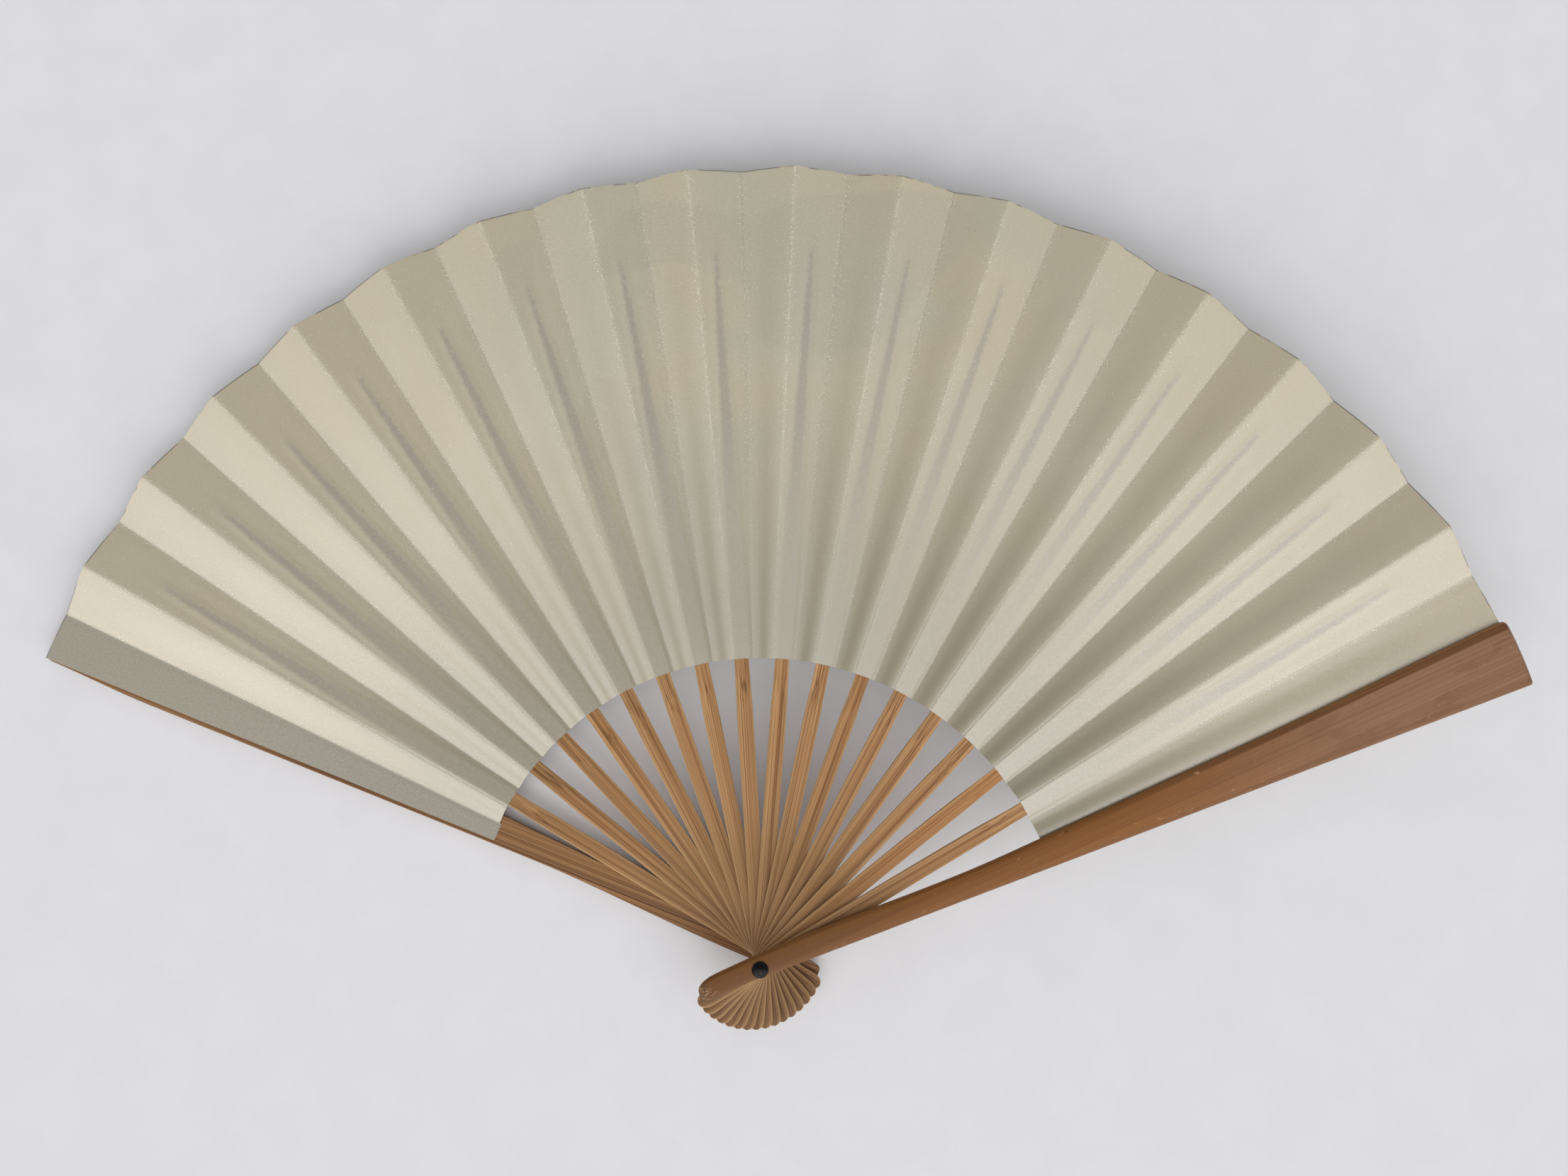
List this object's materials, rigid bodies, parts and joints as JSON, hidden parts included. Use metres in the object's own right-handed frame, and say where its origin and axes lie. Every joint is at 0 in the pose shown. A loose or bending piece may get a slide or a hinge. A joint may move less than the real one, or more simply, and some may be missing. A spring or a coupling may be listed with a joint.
{
  "type": "folding hand fan",
  "caption": "Folding hand fan: flat bamboo ribs between wider guards on a rivet, with a pleated paper leaf that folds with them.",
  "frame": {"origin": "on the rivet's axis, at the flat of its rear head, which stands on the table", "axes": "+Z along the rivet, from the rear guard to the front guard; +Y towards the middle of the open leaf; +X from the rear guard's side to the front guard's side"},
  "size_m": [0.3914, 0.2271, 0.0268],
  "materials": {
    "rib_bamboo": "satin",
    "guard_bamboo": "satin",
    "leaf_paper": "matte",
    "rivet_plastic": "gloss"
  },
  "bodies": {
    "rear_guard": {"rear_guard": "guard_bamboo", "rivet": "rivet_plastic", "leaf_on_stick_00": "leaf_paper"},
    "rib_01": {"rib_01": "rib_bamboo"},
    "rib_02": {"rib_02": "rib_bamboo"},
    "rib_03": {"rib_03": "rib_bamboo"},
    "rib_04": {"rib_04": "rib_bamboo"},
    "rib_05": {"rib_05": "rib_bamboo"},
    "rib_06": {"rib_06": "rib_bamboo"},
    "rib_07": {"rib_07": "rib_bamboo"},
    "rib_08": {"rib_08": "rib_bamboo"},
    "rib_09": {"rib_09": "rib_bamboo"},
    "rib_10": {"rib_10": "rib_bamboo"},
    "rib_11": {"rib_11": "rib_bamboo"},
    "rib_12": {"rib_12": "rib_bamboo"},
    "rib_13": {"rib_13": "rib_bamboo"},
    "rib_14": {"rib_14": "rib_bamboo"},
    "rib_15": {"rib_15": "rib_bamboo"},
    "rib_16": {"rib_16": "rib_bamboo"},
    "front_guard": {"front_guard": "guard_bamboo", "leaf_on_stick_17": "leaf_paper"},
    "leaf_on_stick_01": {"leaf_on_stick_01": "leaf_paper"},
    "leaf_on_stick_02": {"leaf_on_stick_02": "leaf_paper"},
    "leaf_on_stick_03": {"leaf_on_stick_03": "leaf_paper"},
    "leaf_on_stick_04": {"leaf_on_stick_04": "leaf_paper"},
    "leaf_on_stick_05": {"leaf_on_stick_05": "leaf_paper"},
    "leaf_on_stick_06": {"leaf_on_stick_06": "leaf_paper"},
    "leaf_on_stick_07": {"leaf_on_stick_07": "leaf_paper"},
    "leaf_on_stick_08": {"leaf_on_stick_08": "leaf_paper"},
    "leaf_on_stick_09": {"leaf_on_stick_09": "leaf_paper"},
    "leaf_on_stick_10": {"leaf_on_stick_10": "leaf_paper"},
    "leaf_on_stick_11": {"leaf_on_stick_11": "leaf_paper"},
    "leaf_on_stick_12": {"leaf_on_stick_12": "leaf_paper"},
    "leaf_on_stick_13": {"leaf_on_stick_13": "leaf_paper"},
    "leaf_on_stick_14": {"leaf_on_stick_14": "leaf_paper"},
    "leaf_on_stick_15": {"leaf_on_stick_15": "leaf_paper"},
    "leaf_on_stick_16": {"leaf_on_stick_16": "leaf_paper"},
    "leaf_fold_00": {"leaf_fold_00": "leaf_paper"},
    "leaf_fold_01": {"leaf_fold_01": "leaf_paper"},
    "leaf_fold_02": {"leaf_fold_02": "leaf_paper"},
    "leaf_fold_03": {"leaf_fold_03": "leaf_paper"},
    "leaf_fold_04": {"leaf_fold_04": "leaf_paper"},
    "leaf_fold_05": {"leaf_fold_05": "leaf_paper"},
    "leaf_fold_06": {"leaf_fold_06": "leaf_paper"},
    "leaf_fold_07": {"leaf_fold_07": "leaf_paper"},
    "leaf_fold_08": {"leaf_fold_08": "leaf_paper"},
    "leaf_fold_09": {"leaf_fold_09": "leaf_paper"},
    "leaf_fold_10": {"leaf_fold_10": "leaf_paper"},
    "leaf_fold_11": {"leaf_fold_11": "leaf_paper"},
    "leaf_fold_12": {"leaf_fold_12": "leaf_paper"},
    "leaf_fold_13": {"leaf_fold_13": "leaf_paper"},
    "leaf_fold_14": {"leaf_fold_14": "leaf_paper"},
    "leaf_fold_15": {"leaf_fold_15": "leaf_paper"},
    "leaf_fold_16": {"leaf_fold_16": "leaf_paper"}
  },
  "joints": [
    {"name": "fan_fold", "type": "hinge", "parent": "rear_guard", "child": "front_guard", "pos_m": [0, 0, 0.0125], "axis": [0, 0, 1], "range_deg": [0, 133.96]},
    {"name": "rib_01_swing", "type": "hinge", "parent": "rear_guard", "child": "rib_01", "pos_m": [0, 0, 0.00436], "axis": [0, 0, 1], "range_deg": [0, 7.89]},
    {"name": "rib_02_swing", "type": "hinge", "parent": "rear_guard", "child": "rib_02", "pos_m": [0, 0, 0.00556], "axis": [0, 0, 1], "range_deg": [0, 15.77]},
    {"name": "rib_03_swing", "type": "hinge", "parent": "rear_guard", "child": "rib_03", "pos_m": [0, 0, 0.00676], "axis": [0, 0, 1], "range_deg": [0, 23.65]},
    {"name": "rib_04_swing", "type": "hinge", "parent": "rear_guard", "child": "rib_04", "pos_m": [0, 0, 0.00796], "axis": [0, 0, 1], "range_deg": [0, 31.53]},
    {"name": "rib_05_swing", "type": "hinge", "parent": "rear_guard", "child": "rib_05", "pos_m": [0, 0, 0.00916], "axis": [0, 0, 1], "range_deg": [0, 39.41]},
    {"name": "rib_06_swing", "type": "hinge", "parent": "rear_guard", "child": "rib_06", "pos_m": [0, 0, 0.01036], "axis": [0, 0, 1], "range_deg": [0, 47.29]},
    {"name": "rib_07_swing", "type": "hinge", "parent": "rear_guard", "child": "rib_07", "pos_m": [0, 0, 0.01156], "axis": [0, 0, 1], "range_deg": [0, 55.17]},
    {"name": "rib_08_swing", "type": "hinge", "parent": "rear_guard", "child": "rib_08", "pos_m": [0, 0, 0.01276], "axis": [0, 0, 1], "range_deg": [0, 63.05]},
    {"name": "rib_09_swing", "type": "hinge", "parent": "rear_guard", "child": "rib_09", "pos_m": [0, 0, 0.01396], "axis": [0, 0, 1], "range_deg": [0, 70.93]},
    {"name": "rib_10_swing", "type": "hinge", "parent": "rear_guard", "child": "rib_10", "pos_m": [0, 0, 0.01516], "axis": [0, 0, 1], "range_deg": [0, 78.81]},
    {"name": "rib_11_swing", "type": "hinge", "parent": "rear_guard", "child": "rib_11", "pos_m": [0, 0, 0.01636], "axis": [0, 0, 1], "range_deg": [0, 86.69]},
    {"name": "rib_12_swing", "type": "hinge", "parent": "rear_guard", "child": "rib_12", "pos_m": [0, 0, 0.01756], "axis": [0, 0, 1], "range_deg": [0, 94.57]},
    {"name": "rib_13_swing", "type": "hinge", "parent": "rear_guard", "child": "rib_13", "pos_m": [0, 0, 0.01876], "axis": [0, 0, 1], "range_deg": [0, 102.45]},
    {"name": "rib_14_swing", "type": "hinge", "parent": "rear_guard", "child": "rib_14", "pos_m": [0, 0, 0.01996], "axis": [0, 0, 1], "range_deg": [0, 110.33]},
    {"name": "rib_15_swing", "type": "hinge", "parent": "rear_guard", "child": "rib_15", "pos_m": [0, 0, 0.02116], "axis": [0, 0, 1], "range_deg": [0, 118.21]},
    {"name": "rib_16_swing", "type": "hinge", "parent": "rear_guard", "child": "rib_16", "pos_m": [0, 0, 0.02236], "axis": [0, 0, 1], "range_deg": [0, 126.09]},
    {"name": "leaf_on_stick_01_tilt", "type": "hinge", "parent": "rib_01", "child": "leaf_on_stick_01", "pos_m": [0, 0, 0.00436], "axis": [0.835, -0.5502, 0], "range_deg": [0, 14.51]},
    {"name": "leaf_on_stick_02_tilt", "type": "hinge", "parent": "rib_02", "child": "leaf_on_stick_02", "pos_m": [0, 0, 0.00556], "axis": [0.7517, -0.6595, 0], "range_deg": [0, 14.51]},
    {"name": "leaf_on_stick_03_tilt", "type": "hinge", "parent": "rib_03", "child": "leaf_on_stick_03", "pos_m": [0, 0, 0.00676], "axis": [0.6542, -0.7563, 0], "range_deg": [0, 14.51]},
    {"name": "leaf_on_stick_04_tilt", "type": "hinge", "parent": "rib_04", "child": "leaf_on_stick_04", "pos_m": [0, 0, 0.00796], "axis": [0.5443, -0.8389, 0], "range_deg": [0, 14.51]},
    {"name": "leaf_on_stick_05_tilt", "type": "hinge", "parent": "rib_05", "child": "leaf_on_stick_05", "pos_m": [0, 0, 0.00916], "axis": [0.4242, -0.9056, 0], "range_deg": [0, 14.51]},
    {"name": "leaf_on_stick_06_tilt", "type": "hinge", "parent": "rib_06", "child": "leaf_on_stick_06", "pos_m": [0, 0, 0.01036], "axis": [0.296, -0.9552, 0], "range_deg": [0, 14.51]},
    {"name": "leaf_on_stick_07_tilt", "type": "hinge", "parent": "rib_07", "child": "leaf_on_stick_07", "pos_m": [0, 0, 0.01156], "axis": [0.1623, -0.9867, 0], "range_deg": [0, 14.51]},
    {"name": "leaf_on_stick_08_tilt", "type": "hinge", "parent": "rib_08", "child": "leaf_on_stick_08", "pos_m": [0, 0, 0.01276], "axis": [0.0255, -0.9997, 0], "range_deg": [0, 14.51]},
    {"name": "leaf_on_stick_09_tilt", "type": "hinge", "parent": "rib_09", "child": "leaf_on_stick_09", "pos_m": [0, 0, 0.01396], "axis": [-0.1118, -0.9937, 0], "range_deg": [0, 14.51]},
    {"name": "leaf_on_stick_10_tilt", "type": "hinge", "parent": "rib_10", "child": "leaf_on_stick_10", "pos_m": [0, 0, 0.01516], "axis": [-0.247, -0.969, 0], "range_deg": [0, 14.51]},
    {"name": "leaf_on_stick_11_tilt", "type": "hinge", "parent": "rib_11", "child": "leaf_on_stick_11", "pos_m": [0, 0, 0.01636], "axis": [-0.3775, -0.926, 0], "range_deg": [0, 14.51]},
    {"name": "leaf_on_stick_12_tilt", "type": "hinge", "parent": "rib_12", "child": "leaf_on_stick_12", "pos_m": [0, 0, 0.01756], "axis": [-0.5009, -0.8655, 0], "range_deg": [0, 14.51]},
    {"name": "leaf_on_stick_13_tilt", "type": "hinge", "parent": "rib_13", "child": "leaf_on_stick_13", "pos_m": [0, 0, 0.01876], "axis": [-0.6148, -0.7887, 0], "range_deg": [0, 14.51]},
    {"name": "leaf_on_stick_14_tilt", "type": "hinge", "parent": "rib_14", "child": "leaf_on_stick_14", "pos_m": [0, 0, 0.01996], "axis": [-0.7172, -0.6969, 0], "range_deg": [0, 14.51]},
    {"name": "leaf_on_stick_15_tilt", "type": "hinge", "parent": "rib_15", "child": "leaf_on_stick_15", "pos_m": [0, 0, 0.02116], "axis": [-0.8059, -0.592, 0], "range_deg": [0, 14.51]},
    {"name": "leaf_on_stick_16_tilt", "type": "hinge", "parent": "rib_16", "child": "leaf_on_stick_16", "pos_m": [0, 0, 0.02236], "axis": [-0.8795, -0.4759, 0], "range_deg": [0, 14.51]},
    {"name": "leaf_fold_00_turn", "type": "hinge", "parent": "rear_guard", "child": "leaf_fold_00", "pos_m": [0, 0, 0.00361], "axis": [0.9026, -0.4305, 0], "range_deg": [0, 159.71], "deforming": ["leaf_fold_00"]},
    {"name": "leaf_fold_01_turn", "type": "hinge", "parent": "rib_01", "child": "leaf_fold_01", "pos_m": [0, 0, 0.00436], "axis": [0.835, -0.5502, 0], "range_deg": [0, 156.41], "deforming": ["leaf_fold_01"]},
    {"name": "leaf_fold_02_turn", "type": "hinge", "parent": "rib_02", "child": "leaf_fold_02", "pos_m": [0, 0, 0.00556], "axis": [0.7517, -0.6595, 0], "range_deg": [0, 156.41], "deforming": ["leaf_fold_02"]},
    {"name": "leaf_fold_03_turn", "type": "hinge", "parent": "rib_03", "child": "leaf_fold_03", "pos_m": [0, 0, 0.00676], "axis": [0.6542, -0.7563, 0], "range_deg": [0, 156.41], "deforming": ["leaf_fold_03"]},
    {"name": "leaf_fold_04_turn", "type": "hinge", "parent": "rib_04", "child": "leaf_fold_04", "pos_m": [0, 0, 0.00796], "axis": [0.5443, -0.8389, 0], "range_deg": [0, 156.41], "deforming": ["leaf_fold_04"]},
    {"name": "leaf_fold_05_turn", "type": "hinge", "parent": "rib_05", "child": "leaf_fold_05", "pos_m": [0, 0, 0.00916], "axis": [0.4242, -0.9056, 0], "range_deg": [0, 156.41], "deforming": ["leaf_fold_05"]},
    {"name": "leaf_fold_06_turn", "type": "hinge", "parent": "rib_06", "child": "leaf_fold_06", "pos_m": [0, 0, 0.01036], "axis": [0.296, -0.9552, 0], "range_deg": [0, 156.41], "deforming": ["leaf_fold_06"]},
    {"name": "leaf_fold_07_turn", "type": "hinge", "parent": "rib_07", "child": "leaf_fold_07", "pos_m": [0, 0, 0.01156], "axis": [0.1623, -0.9867, 0], "range_deg": [0, 156.41], "deforming": ["leaf_fold_07"]},
    {"name": "leaf_fold_08_turn", "type": "hinge", "parent": "rib_08", "child": "leaf_fold_08", "pos_m": [0, 0, 0.01276], "axis": [0.0255, -0.9997, 0], "range_deg": [0, 156.41], "deforming": ["leaf_fold_08"]},
    {"name": "leaf_fold_09_turn", "type": "hinge", "parent": "rib_09", "child": "leaf_fold_09", "pos_m": [0, 0, 0.01396], "axis": [-0.1118, -0.9937, 0], "range_deg": [0, 156.41], "deforming": ["leaf_fold_09"]},
    {"name": "leaf_fold_10_turn", "type": "hinge", "parent": "rib_10", "child": "leaf_fold_10", "pos_m": [0, 0, 0.01516], "axis": [-0.247, -0.969, 0], "range_deg": [0, 156.41], "deforming": ["leaf_fold_10"]},
    {"name": "leaf_fold_11_turn", "type": "hinge", "parent": "rib_11", "child": "leaf_fold_11", "pos_m": [0, 0, 0.01636], "axis": [-0.3775, -0.926, 0], "range_deg": [0, 156.41], "deforming": ["leaf_fold_11"]},
    {"name": "leaf_fold_12_turn", "type": "hinge", "parent": "rib_12", "child": "leaf_fold_12", "pos_m": [0, 0, 0.01756], "axis": [-0.5009, -0.8655, 0], "range_deg": [0, 156.41], "deforming": ["leaf_fold_12"]},
    {"name": "leaf_fold_13_turn", "type": "hinge", "parent": "rib_13", "child": "leaf_fold_13", "pos_m": [0, 0, 0.01876], "axis": [-0.6148, -0.7887, 0], "range_deg": [0, 156.41], "deforming": ["leaf_fold_13"]},
    {"name": "leaf_fold_14_turn", "type": "hinge", "parent": "rib_14", "child": "leaf_fold_14", "pos_m": [0, 0, 0.01996], "axis": [-0.7172, -0.6969, 0], "range_deg": [0, 156.41], "deforming": ["leaf_fold_14"]},
    {"name": "leaf_fold_15_turn", "type": "hinge", "parent": "rib_15", "child": "leaf_fold_15", "pos_m": [0, 0, 0.02116], "axis": [-0.8059, -0.592, 0], "range_deg": [0, 156.41], "deforming": ["leaf_fold_15"]},
    {"name": "leaf_fold_16_turn", "type": "hinge", "parent": "rib_16", "child": "leaf_fold_16", "pos_m": [0, 0, 0.02236], "axis": [-0.8795, -0.4759, 0], "range_deg": [0, 173.41], "deforming": ["leaf_fold_16"]}
  ],
  "couplings": [
    {"joint": "rib_01_swing", "follows": "fan_fold", "ratio": 0.058824},
    {"joint": "rib_02_swing", "follows": "fan_fold", "ratio": 0.11765},
    {"joint": "rib_03_swing", "follows": "fan_fold", "ratio": 0.17647},
    {"joint": "rib_04_swing", "follows": "fan_fold", "ratio": 0.23529},
    {"joint": "rib_05_swing", "follows": "fan_fold", "ratio": 0.29412},
    {"joint": "rib_06_swing", "follows": "fan_fold", "ratio": 0.35294},
    {"joint": "rib_07_swing", "follows": "fan_fold", "ratio": 0.41176},
    {"joint": "rib_08_swing", "follows": "fan_fold", "ratio": 0.47059},
    {"joint": "rib_09_swing", "follows": "fan_fold", "ratio": 0.52941},
    {"joint": "rib_10_swing", "follows": "fan_fold", "ratio": 0.58824},
    {"joint": "rib_11_swing", "follows": "fan_fold", "ratio": 0.64706},
    {"joint": "rib_12_swing", "follows": "fan_fold", "ratio": 0.70588},
    {"joint": "rib_13_swing", "follows": "fan_fold", "ratio": 0.76471},
    {"joint": "rib_14_swing", "follows": "fan_fold", "ratio": 0.82353},
    {"joint": "rib_15_swing", "follows": "fan_fold", "ratio": 0.88235},
    {"joint": "rib_16_swing", "follows": "fan_fold", "ratio": 0.94118},
    {"joint": "leaf_on_stick_01_tilt", "follows": "fan_fold", "ratio": 0.10824},
    {"joint": "leaf_on_stick_02_tilt", "follows": "fan_fold", "ratio": 0.10824},
    {"joint": "leaf_on_stick_03_tilt", "follows": "fan_fold", "ratio": 0.10824},
    {"joint": "leaf_on_stick_04_tilt", "follows": "fan_fold", "ratio": 0.10824},
    {"joint": "leaf_on_stick_05_tilt", "follows": "fan_fold", "ratio": 0.10824},
    {"joint": "leaf_on_stick_06_tilt", "follows": "fan_fold", "ratio": 0.10824},
    {"joint": "leaf_on_stick_07_tilt", "follows": "fan_fold", "ratio": 0.10824},
    {"joint": "leaf_on_stick_08_tilt", "follows": "fan_fold", "ratio": 0.10824},
    {"joint": "leaf_on_stick_09_tilt", "follows": "fan_fold", "ratio": 0.10824},
    {"joint": "leaf_on_stick_10_tilt", "follows": "fan_fold", "ratio": 0.10824},
    {"joint": "leaf_on_stick_11_tilt", "follows": "fan_fold", "ratio": 0.10824},
    {"joint": "leaf_on_stick_12_tilt", "follows": "fan_fold", "ratio": 0.10824},
    {"joint": "leaf_on_stick_13_tilt", "follows": "fan_fold", "ratio": 0.10824},
    {"joint": "leaf_on_stick_14_tilt", "follows": "fan_fold", "ratio": 0.10824},
    {"joint": "leaf_on_stick_15_tilt", "follows": "fan_fold", "ratio": 0.10824},
    {"joint": "leaf_on_stick_16_tilt", "follows": "fan_fold", "ratio": 0.10824},
    {"joint": "leaf_fold_00_turn", "follows": "fan_fold", "ratio": 1.1921},
    {"joint": "leaf_fold_01_turn", "follows": "fan_fold", "ratio": 1.1675},
    {"joint": "leaf_fold_02_turn", "follows": "fan_fold", "ratio": 1.1675},
    {"joint": "leaf_fold_03_turn", "follows": "fan_fold", "ratio": 1.1675},
    {"joint": "leaf_fold_04_turn", "follows": "fan_fold", "ratio": 1.1675},
    {"joint": "leaf_fold_05_turn", "follows": "fan_fold", "ratio": 1.1675},
    {"joint": "leaf_fold_06_turn", "follows": "fan_fold", "ratio": 1.1675},
    {"joint": "leaf_fold_07_turn", "follows": "fan_fold", "ratio": 1.1675},
    {"joint": "leaf_fold_08_turn", "follows": "fan_fold", "ratio": 1.1675},
    {"joint": "leaf_fold_09_turn", "follows": "fan_fold", "ratio": 1.1675},
    {"joint": "leaf_fold_10_turn", "follows": "fan_fold", "ratio": 1.1675},
    {"joint": "leaf_fold_11_turn", "follows": "fan_fold", "ratio": 1.1675},
    {"joint": "leaf_fold_12_turn", "follows": "fan_fold", "ratio": 1.1675},
    {"joint": "leaf_fold_13_turn", "follows": "fan_fold", "ratio": 1.1675},
    {"joint": "leaf_fold_14_turn", "follows": "fan_fold", "ratio": 1.1675},
    {"joint": "leaf_fold_15_turn", "follows": "fan_fold", "ratio": 1.1675},
    {"joint": "leaf_fold_16_turn", "follows": "fan_fold", "ratio": 1.2944}
  ]
}
